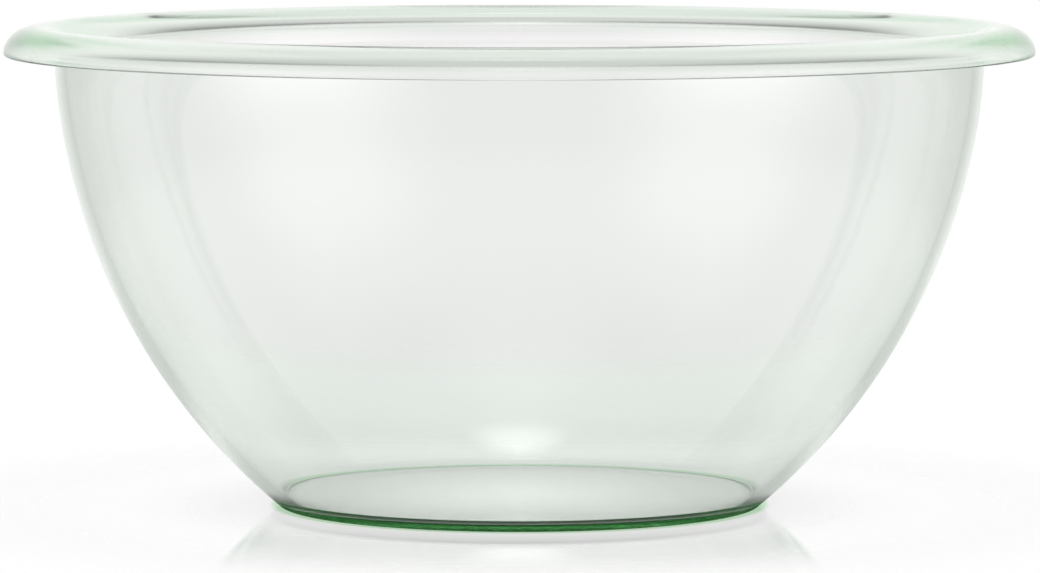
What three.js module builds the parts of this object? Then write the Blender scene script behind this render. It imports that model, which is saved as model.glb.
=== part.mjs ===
// Salad bowl: one piece of pale green pressed glass with a curled lip.
// Units are millimetres, +Z is up, the axis runs through x = y = 0 and the foot stands on z = 0.
// The section is drawn as points (radius, height) and turned once round the axis.
import * as THREE from 'three';

// Overall sizes
const RIM_DIAMETER = 280; // across the lip, the widest part
const HEIGHT = 131; // from the table to the crest of the rim
const FOOT_DIAMETER = 131.6; // outside of the heel, where the side wall begins

// Glass thicknesses
const WALL = 3; // side wall
const FLOOR = 3.2; // level floor
const LIP = 4.1; // curled lip, at its crest
const LIP_EDGE = 3.65; // curled lip, at its lower edge

// Foot
const HEEL_HEIGHT = 0.35; // rounded corner between the flat underside and the wall
const FLOOR_ROUND = 0.5; // height of the rounded corner between the floor and the inside wall

// Side wall: how steeply it leaves the heel, and how far it keeps to its end directions
const HEEL_ANGLE = THREE.MathUtils.degToRad(40.3); // from level
const HEEL_REACH = 79.5; // along the heel angle
const NECK_REACH = 2.9; // straight down from the rim

// Rim
const OVERHANG = 13.8; // lip beyond the outside of the wall
const LIP_DROP = 8; // from the crest to the lip's lower edge
const LIP_ROUND = 9.45; // width of the rounding from the crest to the lip
const LIP_OUTER_CORNER = 0.7; // rounding of the lip's lower edge, outside
const LIP_INNER_CORNER = 0.36; // rounding of the lip's lower edge, towards the wall
const NECK_ROUND = 3.6; // rounding under the rim, outside the wall
const CREST_WIDTH = 7.35; // width of the rounding from the inside wall to the crest
const CREST_HEIGHT = 5.7; // height of that rounding

// Fineness of the mesh
const SEGMENTS = 64;
const WALL_STEPS = 16;

const vec = (radius, height) => new THREE.Vector2(radius, height);

// Places that the section passes through
const rimRadius = RIM_DIAMETER / 2;
const heelTop = vec(FOOT_DIAMETER / 2, HEEL_HEIGHT);
const heelCorner = vec(heelTop.x - HEEL_HEIGHT / Math.tan(HEEL_ANGLE), 0);
const footEdge = vec(heelCorner.x - HEEL_HEIGHT, 0);
const neckRadius = rimRadius - OVERHANG;
const underLip = HEIGHT - LIP;
const neck = vec(neckRadius, underLip - NECK_ROUND);
const insideRadius = neckRadius - WALL;
const lipEdge = HEIGHT - LIP_DROP;
const lipStart = rimRadius - LIP_ROUND;
const innerCorner = vec(rimRadius - LIP_EDGE + LIP_INNER_CORNER, lipEdge + LIP_INNER_CORNER);
const outerCorner = vec(rimRadius - LIP_OUTER_CORNER, lipEdge + LIP_OUTER_CORNER);

// Outside of the side wall, from the heel to the neck under the rim
const heelHandle = vec(Math.cos(HEEL_ANGLE), Math.sin(HEEL_ANGLE)).multiplyScalar(HEEL_REACH).add(heelTop);
const outerWall = new THREE.CubicBezierCurve(heelTop, heelHandle, vec(neck.x, neck.y - NECK_REACH), neck);

// Inside of the side wall, one glass thickness in from the outside
function insidePoint(t) {
  const along = outerWall.getTangent(t);
  return vec(-along.y, along.x).multiplyScalar(WALL).add(outerWall.getPoint(t));
}

// The inside wall runs down to the top of the rounded corner
let wallEnd = 0;
while (insidePoint(wallEnd).y < FLOOR + FLOOR_ROUND) {
  wallEnd += 0.001;
}

const insideWall = [];
for (let step = 0; step <= WALL_STEPS; step += 1) {
  insideWall.push(insidePoint(1 - ((1 - wallEnd) * step) / WALL_STEPS));
}

// Rounded corner from the inside wall to the level floor
const blendTop = insidePoint(wallEnd);
const blendSlope = outerWall.getTangent(wallEnd);
const blendCorner = vec(blendTop.x - ((blendTop.y - FLOOR) * blendSlope.x) / blendSlope.y, FLOOR);
const blendEnd = vec(blendCorner.x - blendTop.distanceTo(blendCorner), FLOOR);

// Part of an ellipse, angles in degrees from the outward direction
function arc(x, y, radiusX, radiusY, from, to, steps) {
  const start = THREE.MathUtils.degToRad(from);
  const end = THREE.MathUtils.degToRad(to);
  return new THREE.EllipseCurve(x, y, radiusX, radiusY, start, end, end < start).getPoints(steps);
}

// The whole section, from the axis under the foot, up the outside, over the lip and down the inside
const drawn = [
  vec(0, 0),
  ...new THREE.QuadraticBezierCurve(footEdge, heelCorner, heelTop).getPoints(4),
  ...outerWall.getPoints(WALL_STEPS),
  ...arc(neckRadius + NECK_ROUND, neck.y, NECK_ROUND, NECK_ROUND, 180, 90, 4),
  ...arc(lipStart, innerCorner.y, LIP_ROUND - LIP_EDGE, underLip - innerCorner.y, 90, 0, 5),
  ...arc(innerCorner.x, innerCorner.y, LIP_INNER_CORNER, LIP_INNER_CORNER, 180, 270, 3),
  ...arc(outerCorner.x, outerCorner.y, LIP_OUTER_CORNER, LIP_OUTER_CORNER, -90, 0, 2),
  ...arc(lipStart, outerCorner.y, LIP_ROUND, HEIGHT - outerCorner.y, 0, 90, 8),
  ...arc(insideRadius + CREST_WIDTH, HEIGHT - CREST_HEIGHT, CREST_WIDTH, CREST_HEIGHT, 90, 180, 5),
  ...insideWall,
  ...new THREE.QuadraticBezierCurve(blendTop, blendCorner, blendEnd).getPoints(4),
  vec(0, FLOOR),
];

// Neighbouring curves share their end points, so each point is kept once
const section = drawn.filter((point, i) => i === 0 || point.distanceTo(drawn[i - 1]) > 0.02);

const geometry = new THREE.LatheGeometry(section, SEGMENTS);
geometry.rotateX(Math.PI / 2);

// Clear soda-lime glass with a faint green tint
const glass = new THREE.MeshStandardMaterial({ color: 0xdfe9de, roughness: 0.03, metalness: 0 });

const bowl = new THREE.Mesh(geometry, glass);
bowl.name = 'glass_bowl';

const saladBowl = new THREE.Group();
saladBowl.name = 'salad_bowl';
saladBowl.add(bowl);

export default saladBowl;
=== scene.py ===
# %% [markdown]
# # A salad bowl of clear glass
# The bowl is one piece of pressed glass: a flat foot, a deep wall that curves up from it, and a lip
# that curls outwards so that fingers can lift it. It has no handle, joint or decoration, so its
# whole look comes from the section of the glass and from what light does in it.
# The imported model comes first, because it fixes where the bowl stands and how large it is.

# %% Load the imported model
import math

import bpy
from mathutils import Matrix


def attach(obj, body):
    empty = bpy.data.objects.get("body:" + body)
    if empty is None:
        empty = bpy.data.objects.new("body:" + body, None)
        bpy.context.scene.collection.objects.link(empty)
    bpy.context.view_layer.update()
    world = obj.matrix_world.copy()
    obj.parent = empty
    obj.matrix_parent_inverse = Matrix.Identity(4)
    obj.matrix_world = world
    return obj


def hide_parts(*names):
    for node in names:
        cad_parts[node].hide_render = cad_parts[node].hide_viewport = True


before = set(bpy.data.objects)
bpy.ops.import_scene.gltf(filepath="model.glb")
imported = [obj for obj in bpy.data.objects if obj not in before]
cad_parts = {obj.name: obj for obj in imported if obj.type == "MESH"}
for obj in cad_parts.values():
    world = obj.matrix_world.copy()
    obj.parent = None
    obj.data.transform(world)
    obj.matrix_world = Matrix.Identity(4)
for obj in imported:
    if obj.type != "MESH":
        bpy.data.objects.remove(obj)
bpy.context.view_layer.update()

# %% [markdown]
# ## The camera
# The bowl is seen almost level, so that its mouth is a thin ellipse and its foot hides little.
# Rim and foot are both circles, and how flat each one looks gives the tilt of the camera and its
# distance: about 1.8 m away, looking 4.8 degrees down through a long lens. A long lens from far
# away keeps both sides of the wall symmetrical, as a product photographer wants them. The lens is
# worked out from a focal length in pixels, and half a pixel of shift centres the bowl.

# %% Camera
IMAGE_WIDTH = 1040
FOCAL_PIXELS = 6499.2
SENSOR_WIDTH = 36
TILT = 4.822
CAMERA_PLACE = (0, -1.7669, 0.20853)

bpy.ops.object.select_all(action="DESELECT")
bpy.ops.object.camera_add(location=CAMERA_PLACE, rotation=(math.radians(90 - TILT), 0, 0))
camera = bpy.context.object
camera.name = "camera"
camera.data.sensor_width = SENSOR_WIDTH
camera.data.lens = SENSOR_WIDTH * FOCAL_PIXELS / IMAGE_WIDTH
camera.data.shift_x = 0.5 / IMAGE_WIDTH
camera.data.clip_start = 0.05
bpy.context.scene.camera = camera
print("camera lens in mm:", round(camera.data.lens, 1))

# %% [markdown]
# ## The section of the glass, outside
# A pressed bowl is the same all round, so its shape is one section turned about the axis. It could
# be made from stacked circles, but a section drawn once keeps the glass thickness in plain sight.
# Each point is (radius, height) in metres. The list starts on the axis under the flat foot. A small
# rounded heel leads into the wall, which is one Bezier curve from the heel to the neck under the lip.

# %% Foot and outer wall
RIM_RADIUS = 0.140
HEIGHT = 0.131
HEEL = (0.0658, 0.00035)
HEEL_ANGLE = math.radians(40.3)
HEEL_REACH = 0.0795
OVERHANG = 0.0138
NECK_RADIUS = RIM_RADIUS - OVERHANG
NECK_REACH = 0.0029
NECK_ROUND = 0.0036
LIP = 0.0041
WALL_STEPS = 48
LEVEL_STEPS = 8


def mix(a, b, t):
    """The point that lies t of the way from a to b."""
    return (a[0] + (b[0] - a[0]) * t, a[1] + (b[1] - a[1]) * t)


def bend(points, steps):
    """A Bezier curve through its first and last point, by halving between its handles."""
    curve = []
    for i in range(steps + 1):
        row = points
        while len(row) > 1:
            row = [mix(a, b, i / steps) for a, b in zip(row, row[1:])]
        curve.append(row[0])
    return curve


neck = (NECK_RADIUS, HEIGHT - LIP - NECK_ROUND)
neck_handle = (neck[0], neck[1] - NECK_REACH)
heel_handle = (HEEL[0] + HEEL_REACH * math.cos(HEEL_ANGLE), HEEL[1] + HEEL_REACH * math.sin(HEEL_ANGLE))
wall_handles = [HEEL, heel_handle, neck_handle, neck]

heel_corner = (HEEL[0] - HEEL[1] / math.tan(HEEL_ANGLE), 0)
foot_edge = (heel_corner[0] - HEEL[1], 0)
underside = [(foot_edge[0] * i / LEVEL_STEPS, 0) for i in range(LEVEL_STEPS)]

outside = underside + bend([foot_edge, heel_corner, HEEL], 8) + bend(wall_handles, WALL_STEPS)
print("outside:", len(outside), "points up to", round(1000 * outside[-1][1], 1), "mm")

# %% [markdown]
# ## The lip
# The rim is not a bead but a sheet of glass that curls over and down, a little thicker than the
# wall. Its upper side is a quarter of an ellipse, and its lower side is a smaller quarter inside it.
# The lower edge is cut almost square, with small rounded corners: they bend the light away so
# sharply that the edge shows as a dark line. The lip could be bevelled from a ring, but arcs with
# named sizes can be changed one at a time, and here a few tenths of a millimetre decide what shows.


# %% Lip and crest
def arc(centre, across, up, start, end, steps):
    """Part of an ellipse, with its angles in degrees from the outward direction."""
    angles = [math.radians(start + (end - start) * i / steps) for i in range(steps + 1)]
    return [(centre[0] + across * math.cos(a), centre[1] + up * math.sin(a)) for a in angles]


WALL = 0.003
LIP_DROP = 0.008
LIP_ROUND = 0.00945
LIP_EDGE = 0.00365
OUTER_CORNER = 0.0007
INNER_CORNER = 0.00036
CREST_WIDTH = 0.00735
CREST_HEIGHT = 0.0057

under_lip = HEIGHT - LIP
lip_edge = HEIGHT - LIP_DROP
lip_start = RIM_RADIUS - LIP_ROUND
inner_corner = (RIM_RADIUS - LIP_EDGE + INNER_CORNER, lip_edge + INNER_CORNER)
outer_corner = (RIM_RADIUS - OUTER_CORNER, lip_edge + OUTER_CORNER)
crest_centre = (NECK_RADIUS - WALL + CREST_WIDTH, HEIGHT - CREST_HEIGHT)

lip = arc((NECK_RADIUS + NECK_ROUND, neck[1]), NECK_ROUND, NECK_ROUND, 180, 90, 8)
lip += arc((lip_start, inner_corner[1]), LIP_ROUND - LIP_EDGE, under_lip - inner_corner[1], 90, 0, 14)
lip += arc(inner_corner, INNER_CORNER, INNER_CORNER, 180, 270, 6)
lip += arc(outer_corner, OUTER_CORNER, OUTER_CORNER, -90, 0, 6)
lip += arc((lip_start, outer_corner[1]), LIP_ROUND, HEIGHT - outer_corner[1], 0, 90, 24)
lip += arc(crest_centre, CREST_WIDTH, CREST_HEIGHT, 90, 180, 16)
print("lip:", len(lip), "points,", round(1000 * LIP, 1), "mm thick at its crest")

# %% [markdown]
# ## The section of the glass, inside
# The inside of the wall lies one glass thickness in from the outside, measured square to the curve.
# For that, each point of the outer curve is moved along its normal, which is the direction to the
# next point turned by a quarter. The wall meets the level floor in a tight rounded corner. That
# corner and the heel outside it make the thick green ring at the foot.

# %% Inside wall and floor
FLOOR_HEIGHT = 0.0032
FLOOR_ROUND = 0.0005
FINENESS = 4
SAME_POINT = 0.00002

inside = []
wall = bend(wall_handles, FINENESS * WALL_STEPS)
for before, point, after in zip(wall, wall[1:], wall[2:]):
    along = (after[0] - before[0], after[1] - before[1])
    length = math.hypot(*along)
    inside.append((point[0] - WALL * along[1] / length, point[1] + WALL * along[0] / length))

inside = [point for point in inside if point[1] > FLOOR_HEIGHT + FLOOR_ROUND][::-FINENESS]
foot_of_wall, next_up = inside[-1], inside[-2]
slope = (next_up[0] - foot_of_wall[0]) / (next_up[1] - foot_of_wall[1])
corner = (foot_of_wall[0] - slope * (foot_of_wall[1] - FLOOR_HEIGHT), FLOOR_HEIGHT)
reach = math.dist(foot_of_wall, corner)
inside += bend([foot_of_wall, corner, (corner[0] - reach, FLOOR_HEIGHT)], 10)
floor_edge = inside[-1][0]
inside += [(floor_edge * (1 - i / LEVEL_STEPS), FLOOR_HEIGHT) for i in range(1, LEVEL_STEPS + 1)]

section = [outside[0]]
for point in outside + lip + inside:
    if math.dist(point, section[-1]) > SAME_POINT:
        section.append(point)
print("section:", len(section), "points; inside floor", round(2000 * corner[0], 1), "mm across")

# %% [markdown]
# ## Turning the section into the bowl
# By hand this starts from a plane merged to a single point on the axis. The point is extruded again
# and again along the section, and Spin then turns the line once round the axis. The first and last
# points lie on the axis, so the turned copies of them fall together and are merged, which closes
# the glass. Glass needs normals that point out of it, or light would bend the wrong way.

# %% Draw and spin
TURNS = 256
MERGE_DISTANCE = 0.000005

bpy.ops.object.select_all(action="DESELECT")
bpy.ops.mesh.primitive_plane_add(size=0.01)
bowl = bpy.context.object
bowl.name = "glass_bowl_clear"
bowl.data.name = "glass_bowl_clear"
bpy.ops.object.mode_set(mode="EDIT")
bpy.ops.mesh.select_all(action="SELECT")
bpy.ops.mesh.merge(type="CENTER")
bpy.ops.transform.translate(value=(section[0][0], 0, section[0][1]))
for here, there in zip(section, section[1:]):
    step = (there[0] - here[0], 0, there[1] - here[1])
    bpy.ops.mesh.extrude_vertices_move(TRANSFORM_OT_translate={"value": step})

bpy.ops.mesh.select_all(action="SELECT")
bpy.ops.mesh.spin(steps=TURNS, angle=2 * math.pi, center=(0, 0, 0), axis=(0, 0, 1))
bpy.ops.mesh.select_all(action="SELECT")
bpy.ops.mesh.remove_doubles(threshold=MERGE_DISTANCE)
bpy.ops.mesh.normals_make_consistent(inside=False)
bpy.ops.object.mode_set(mode="OBJECT")
bpy.ops.object.shade_smooth()
print("bowl:", len(bowl.data.polygons), "faces, mm across:", round(1000 * bowl.dimensions.x, 2))

# %% [markdown]
# ## Small helpers for materials
# A material in Blender is a net of nodes. The nodes could be placed by hand in the Shader Editor, but
# a few short functions say the same in one line each: a colour, a node, a soft step from one value to
# another, a sum or product, and a choice between two values or two colours.


# %% Node helpers
def srgb(hex_code):
    """A colour written as on a screen, turned into the numbers that Blender calculates with."""
    parts = [int(hex_code[i:i + 2], 16) / 255 for i in (1, 3, 5)]
    return [p / 12.92 if p <= 0.04045 else ((p + 0.055) / 1.055) ** 2.4 for p in parts] + [1]


def add_node(tree, kind, inputs, **settings):
    """Adds a shader node, makes its settings, and fills or links its inputs."""
    node = tree.nodes.new("ShaderNode" + kind)
    for name, value in settings.items():
        setattr(node, name, value)
    for key, value in inputs.items():
        if isinstance(value, bpy.types.NodeSocket):
            tree.links.new(value, node.inputs[key])
        else:
            node.inputs[key].default_value = value
    return node


def ramp(tree, value, start, end, low, high):
    """Turns a value that runs from start to end into one that runs softly from low to high."""
    sockets = {"Value": value, "From Min": start, "From Max": end, "To Min": low, "To Max": high}
    return add_node(tree, "MapRange", sockets, interpolation_type="SMOOTHSTEP").outputs[0]


def maths(tree, operation, a, b=0.0):
    """One Math node."""
    return add_node(tree, "Math", {0: a, 1: b}, operation=operation).outputs[0]


def choose(tree, question, otherwise, answer):
    """The answer where a ray is of the kind asked about, and otherwise the other value."""
    return add_node(tree, "Mix", {0: question, 2: otherwise, 3: answer}).outputs[0]


def tinted(tree, share, plain, tint):
    """The plain colour where share is 0, and the tint where it is 1."""
    sockets = {0: share, 6: srgb(plain), 7: srgb(tint)}
    return add_node(tree, "Mix", sockets, data_type="RGBA").outputs[2]


print("mid grey #808080 in linear numbers:", round(srgb("#808080")[0], 3))

# %% [markdown]
# ## The glass
# Clear glass has no colour on its surface. It mirrors a little, bends the rest, and takes out some
# red and blue along the way, so a thin wall looks clear and the long way through the foot looks
# green. A tinted surface would be green everywhere alike, so the tint is an absorption inside the
# glass, in parts lost per metre. Pressed glass is also never quite true: a slow waviness of a few
# hundredths of a millimetre wanders over it. The foot is scuffed by standing on tables. The lip gets
# a trace of roughness, because a perfect lip would show sharper lines than slightly uneven glass does.

# %% Glass material
FOOT_HEIGHTS = (0.0001, 0.0005)
LIP_HEIGHTS = (0.1237, 0.1257)
LIP_SOFTNESS = 0.05
SCUFF_SPREAD = (0.45, 0.7)
SCUFF_ROUGHNESS = 0.2

# Soda-lime glass, clear with a green cast from traces of iron
glass = bpy.data.materials.new("soda_lime_glass")
glass.use_nodes = True
tree = glass.node_tree
tree.nodes.clear()
place = add_node(tree, "TexCoord", {}).outputs["Object"]
height = add_node(tree, "SeparateXYZ", {0: place}).outputs["Z"]
waves = add_node(tree, "TexNoise", {"Vector": place, "Scale": 45, "Detail": 1}).outputs["Fac"]
bump = add_node(tree, "Bump", {"Height": waves, "Strength": 0.3, "Distance": 0.00003}).outputs[0]
specks = add_node(tree, "TexNoise", {"Vector": place, "Scale": 900, "Detail": 3}).outputs["Fac"]
scuffs = ramp(tree, specks, *SCUFF_SPREAD, 0.0, SCUFF_ROUGHNESS)
scuffs = maths(tree, "MULTIPLY", scuffs, ramp(tree, height, *FOOT_HEIGHTS, 1, 0))
roughness = maths(tree, "ADD", ramp(tree, height, *LIP_HEIGHTS, 0, LIP_SOFTNESS), scuffs)
clear = {"Base Color": srgb("#FFFFFF"), "IOR": 1.52, "Transmission Weight": 1}
clear.update({"Roughness": roughness, "Normal": bump})
surface = add_node(tree, "BsdfPrincipled", clear).outputs[0]
green = add_node(tree, "VolumeAbsorption", {"Color": srgb("#00D050"), "Density": 16}).outputs[0]
add_node(tree, "OutputMaterial", {"Surface": surface, "Volume": green})
bowl.data.materials.append(glass)
print("glass:", len(tree.nodes), "nodes")

# %% [markdown]
# ## The table
# The bowl stands on a polished white table that has no edge in the picture. A flat disc is enough,
# because its material fades out long before the disc ends. It lies a twentieth of a millimetre under
# the foot, since two faces in the very same place would fight over which one shows.

# %% Table top
TABLE_RADIUS = 1.6
TABLE_GAP = 0.00005

bpy.ops.object.select_all(action="DESELECT")
bpy.ops.mesh.primitive_circle_add(vertices=128, radius=TABLE_RADIUS, fill_type="NGON")
table = bpy.context.object
table.name = "table"
table.location.z = -TABLE_GAP
bpy.ops.object.transform_apply(location=True)
print("table:", round(table.dimensions.x, 2), "m across")

# %% [markdown]
# ## The white of the table, with painted light and shade
# The table could be lit until it is white, but then the bowl would be lit too much as well. So it
# glows a little by itself, just enough that it is white with the light that falls on it. Under the
# bowl it glows more, most in the middle, as a painted pool of the light that the glass gathers. Rays
# that were mirrored on their way find it dimmer, and dark right at the foot: painted shade where the
# foot keeps the light out. A narrow ring at the foot is painted green, in its glow and its colour: a
# painted caustic of light that came through the thick glass.
# All of these are soft steps over the distance from the axis, in metres.

# %% Table glow
CAUSTIC_RING_BEGINS = (0.061, 0.066)
CAUSTIC_RING_ENDS = (0.0665, 0.0690)
PAINTED_POOL_SPREAD = (0.0, 0.055)
UNDER_HEEL = (0.060, 0.067)
PAINTED_FOOT_SHADE = (0.067, 0.072)
GLOW_MIDDLE = 1.5
GLOW_FLOOR_EDGE = 0.7
GLOW_THROUGH_WALL = 0.62
GLOW_SEEN = 0.70
GLOW_MIRRORED = 0.38

# Polished white table top
polish = bpy.data.materials.new("polished_white_table")
polish.use_nodes = True
tree = polish.node_tree
tree.nodes.clear()
place = add_node(tree, "TexCoord", {}).outputs["Object"]
distance = add_node(tree, "VectorMath", {0: place}, operation="LENGTH").outputs["Value"]
path = add_node(tree, "LightPath", {}).outputs
# Painted pool of light: under the bowl's floor the table glows brighter, most in the middle.
painted_light_pool = ramp(tree, distance, *PAINTED_POOL_SPREAD, GLOW_MIDDLE, GLOW_FLOOR_EDGE)
through_glass = ramp(tree, distance, *UNDER_HEEL, painted_light_pool, GLOW_THROUGH_WALL)
straight = choose(tree, path["Is Camera Ray"], through_glass, GLOW_SEEN)
# Painted shade: for mirrored rays the table's glow falls to nothing at the foot.
mirrored_glow_with_painted_foot_shade = ramp(tree, distance, *PAINTED_FOOT_SHADE, 0.0, GLOW_MIRRORED)
was_mirrored = maths(tree, "MINIMUM", path["Glossy Depth"], 1)
strength = choose(tree, was_mirrored, straight, mirrored_glow_with_painted_foot_shade)
# Painted caustic: a green ring on the table at the foot, both in the glow colour and in the diffuse
# colour.
painted_caustic_ring = ramp(tree, distance, *CAUSTIC_RING_ENDS, ramp(tree, distance, *CAUSTIC_RING_BEGINS, 0, 1), 0)
glow_colour_with_painted_caustic = tinted(tree, painted_caustic_ring, "#FFFFFF", "#DAF0D8")
glow = add_node(tree, "Emission", {"Color": glow_colour_with_painted_caustic, "Strength": strength}).outputs[0]
diffuse_colour_with_painted_caustic = tinted(tree, painted_caustic_ring, "#959595", "#2F7F38")
white = add_node(tree, "BsdfDiffuse", {"Color": diffuse_colour_with_painted_caustic}).outputs[0]
matt = add_node(tree, "AddShader", {0: glow, 1: white}).outputs[0]
print("table glow:", len(tree.nodes), "nodes")

# %% [markdown]
# ## The mirror image in the table
# A polished top mirrors more, the flatter one looks along it, and Layer Weight gives that share. A
# mirror all over would be simpler, but then the image of the whole bowl would fill the foreground.
# So the image is weak at the foot, clear a little further out, and then lost in the white. Last, the
# table itself fades out into the white of the room.

# %% Table mirror
MIRROR_BEGINS = (0.068, 0.12)
MIRROR_ENDS = (0.09, 0.175)
MIRROR_AT_FOOT = 0.15
TABLE_FADES = (0.25, 0.45)

mirror = add_node(tree, "BsdfGlossy", {"Color": srgb("#FFFFFF"), "Roughness": 0.03}).outputs[0]
share = add_node(tree, "LayerWeight", {"Blend": 0.6}).outputs["Facing"]
share = maths(tree, "MULTIPLY", share, ramp(tree, distance, *MIRROR_ENDS, 1, 0))
share = maths(tree, "MULTIPLY", share, ramp(tree, distance, *MIRROR_BEGINS, MIRROR_AT_FOOT, 1))
top = add_node(tree, "MixShader", {0: share, 1: matt, 2: mirror}).outputs[0]
gone = add_node(tree, "BsdfTransparent", {}).outputs[0]
fade = ramp(tree, distance, *TABLE_FADES, 0, 1)
faded = add_node(tree, "MixShader", {0: fade, 1: top, 2: gone}).outputs[0]
add_node(tree, "OutputMaterial", {"Surface": faded})
table.data.materials.append(polish)
print("table material:", len(tree.nodes), "nodes")

# %% [markdown]
# ## The soft boxes
# Glass shows its surroundings, so the room is drawn with care, as a photographer of glass would set
# it up. Lamps could be built as glowing planes, but a world that is drawn by direction never stands in
# front of the camera. Each direction becomes an elevation and an angle round from the back, both in
# degrees. Two tall soft boxes in front, left and right, make the pale bands on the wall. A flat one
# hangs overhead, leaning a little to the front, and makes the bright spot just above the floor.

# %% Soft boxes
STRIP_ANGLE = 122
STRIP_EDGE = (4, 42)
STRIP_FOOT = (-18, 0)
STRIP_HEAD = (20, 60)
STRIP_LEVEL = 1.1
OVERHEAD_LEAN = math.radians(94)
OVERHEAD_DEPTH = 0.09
OVERHEAD_WIDTH = 0.25
OVERHEAD_EDGE = (0.2, 1)
UPPER_HALF = (0, 0.5)
OVERHEAD_LEVEL = 2.0

world = bpy.data.worlds.new("studio")
bpy.context.scene.world = world
world.use_nodes = True
tree = world.node_tree
tree.nodes.clear()
direction = add_node(tree, "TexCoord", {}).outputs["Generated"]
right, back, up = add_node(tree, "SeparateXYZ", {0: direction}).outputs
elevation = maths(tree, "DEGREES", maths(tree, "ARCSINE", up))
around = maths(tree, "DEGREES", maths(tree, "ARCTAN2", right, back))
around = maths(tree, "ABSOLUTE", around)

off_strip = maths(tree, "ABSOLUTE", maths(tree, "SUBTRACT", around, STRIP_ANGLE))
strip = ramp(tree, off_strip, *STRIP_EDGE, STRIP_LEVEL, 0)
strip = maths(tree, "MULTIPLY", strip, ramp(tree, elevation, *STRIP_FOOT, 0, 1))
strip = maths(tree, "MULTIPLY", strip, ramp(tree, elevation, *STRIP_HEAD, 1, 0))

across = (0, -math.sin(OVERHEAD_LEAN), math.cos(OVERHEAD_LEAN))
deep = add_node(tree, "VectorMath", {0: direction, 1: across}, operation="DOT_PRODUCT").outputs["Value"]
deep = maths(tree, "DIVIDE", deep, OVERHEAD_DEPTH)
wide = maths(tree, "DIVIDE", right, OVERHEAD_WIDTH)
squares = maths(tree, "ADD", maths(tree, "MULTIPLY", deep, deep), maths(tree, "MULTIPLY", wide, wide))
overhead = ramp(tree, maths(tree, "SQRT", squares), *OVERHEAD_EDGE, OVERHEAD_LEVEL, 0)
overhead = maths(tree, "MULTIPLY", overhead, ramp(tree, up, *UPPER_HALF, 0, 1))
lamps = maths(tree, "ADD", strip, overhead)
print("soft boxes:", len(tree.nodes), "nodes")

# %% [markdown]
# ## The room
# Straight through the bowl one looks at a white backdrop, from every side. Rays that were mirrored
# see the room instead: white a little above the table, dimmer towards the front below it, and dimmer
# again under the ceiling. That is what gives the wall its grey rounding. For rays mirrored inside the
# glass the ceiling is darkest above the sides, and this draws the thin dark lines in the lip.
# Light Path tells which ray asks: its Glossy Depth counts the mirror bounces. The faint pink does
# what the white balance of a camera does, and takes some of the green back out of the thin wall.

# %% Room
BACKDROP = 0.95
SIDES = 0.50
FRONT = 0.25
CEILING = 0.40
ABOVE_SIDES = 0.10
ABOVE_FRONT_AND_BACK = 0.72
BACK_TO_SIDES = (0, 45)
SIDES_TO_FRONT = (45, 120)
HORIZON = (-2, 1)
CEILING_BEGINS = (35, 60)
CEILING_IN_GLASS = (20, 45)
OFF_SIDES = (30, 80)

low = ramp(tree, around, *SIDES_TO_FRONT, SIDES, FRONT)
low = ramp(tree, around, *BACK_TO_SIDES, 1, low)
near_level = ramp(tree, elevation, *HORIZON, low, 1)
around_bowl = maths(tree, "ADD", ramp(tree, elevation, *CEILING_BEGINS, near_level, CEILING), lamps)
off_side = maths(tree, "ABSOLUTE", maths(tree, "SUBTRACT", around, 90))
high = ramp(tree, off_side, *OFF_SIDES, ABOVE_SIDES, ABOVE_FRONT_AND_BACK)
inside_glass = maths(tree, "ADD", ramp(tree, elevation, *CEILING_IN_GLASS, near_level, high), lamps)

path = add_node(tree, "LightPath", {}).outputs
was_mirrored = maths(tree, "MINIMUM", path["Glossy Depth"], 1)
bent = choose(tree, was_mirrored, BACKDROP, inside_glass)
level = choose(tree, path["Is Glossy Ray"], 1.0, around_bowl)
level = choose(tree, path["Is Transmission Ray"], level, bent)
level = choose(tree, path["Is Camera Ray"], level, 1.0)
tone = tinted(tree, path["Is Transmission Ray"], "#FFFFFF", "#FFFAFD")
room = add_node(tree, "Background", {"Color": tone, "Strength": level}).outputs[0]
add_node(tree, "OutputWorld", {"Surface": room})
print("room:", len(tree.nodes), "nodes")

# %% [markdown]
# ## The lamp
# The room alone lights everything evenly, and a bowl without any shadow seems to float. One large
# lamp high above gives a faint soft shadow. It is hidden from mirrored and bent rays, because the
# soft boxes drawn in the room already stand for it there.

# %% Lamp
LAMP_HEIGHT = 2.5
LAMP_SIZE = 2
LAMP_POWER = 8

bpy.ops.object.select_all(action="DESELECT")
bpy.ops.object.light_add(type="AREA", location=(0, 0, LAMP_HEIGHT))
lamp = bpy.context.object
lamp.name = "ceiling_lamp"
lamp.data.size = LAMP_SIZE
lamp.data.energy = LAMP_POWER
lamp.visible_glossy = False
lamp.visible_transmission = False
print("lamp:", lamp.data.energy, "W")

# %% [markdown]
# ## How light is followed
# A ray in the lip or foot can bounce many times before it finds its way out. With the usual limit
# it would be given up and the spot would turn black, so the limits are raised. The Standard view
# shows white as white, which a bowl on a white table needs.

# %% Ray limits and colour
BOUNCES = 32

scene = bpy.context.scene
scene.cycles.max_bounces = BOUNCES
scene.cycles.transmission_bounces = BOUNCES
scene.cycles.glossy_bounces = BOUNCES
scene.view_settings.view_transform = "Standard"
print("bounces:", scene.cycles.max_bounces, "view:", scene.view_settings.view_transform)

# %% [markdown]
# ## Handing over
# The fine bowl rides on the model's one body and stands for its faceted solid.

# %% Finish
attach(bowl, "root")
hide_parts("glass_bowl")
